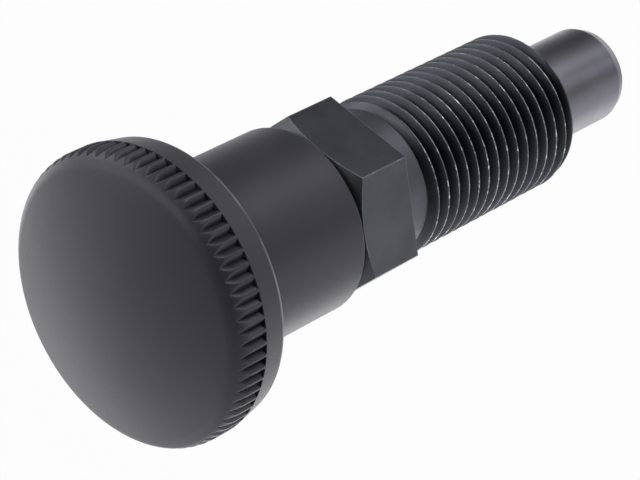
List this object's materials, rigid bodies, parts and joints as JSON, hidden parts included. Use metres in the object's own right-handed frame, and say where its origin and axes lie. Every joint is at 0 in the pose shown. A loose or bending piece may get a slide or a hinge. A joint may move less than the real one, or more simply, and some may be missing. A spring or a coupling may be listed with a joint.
{
  "type": "indexing plunger",
  "caption": "Spring-returned indexing plunger: threaded steel body with a hexagon, round locking pin at the nose, and a mushroom pull knob with a serrated rim.",
  "frame": {"origin": "centre of the hexagon's seat face, on the plunger's axis", "axes": "+Z along the axis from the nose of the locking pin to the knob, -Y through a corner of the hexagon, +X square to a flat"},
  "size_m": [0.0284, 0.0284, 0.07],
  "materials": {
    "blackened_steel": "black oxide on turned steel, slightly oily, with bright worn edges",
    "ground_steel": "hardened and ground, dull grey",
    "spring_steel": "drawn wire",
    "black_plastic": "moulded thermoplastic, fine matt texture"
  },
  "bodies": {
    "body": {"threaded_body": "blackened_steel"},
    "spring": {"return_spring": "spring_steel"},
    "plunger": {"locking_pin": "ground_steel", "pull_knob": "black_plastic"}
  },
  "joints": [
    {"name": "spin", "type": "hinge", "parent": "body", "child": "spring", "pos_m": [0, 0, 0], "axis": [0, 0, 1], "continuous": true},
    {"name": "pull", "type": "slide", "parent": "spring", "child": "plunger", "axis": [0, 0, 1], "range_m": [0, 0.012], "stiffness_N_per_m": 1170, "springref_m": -0.012, "deforming": ["return_spring"]}
  ]
}
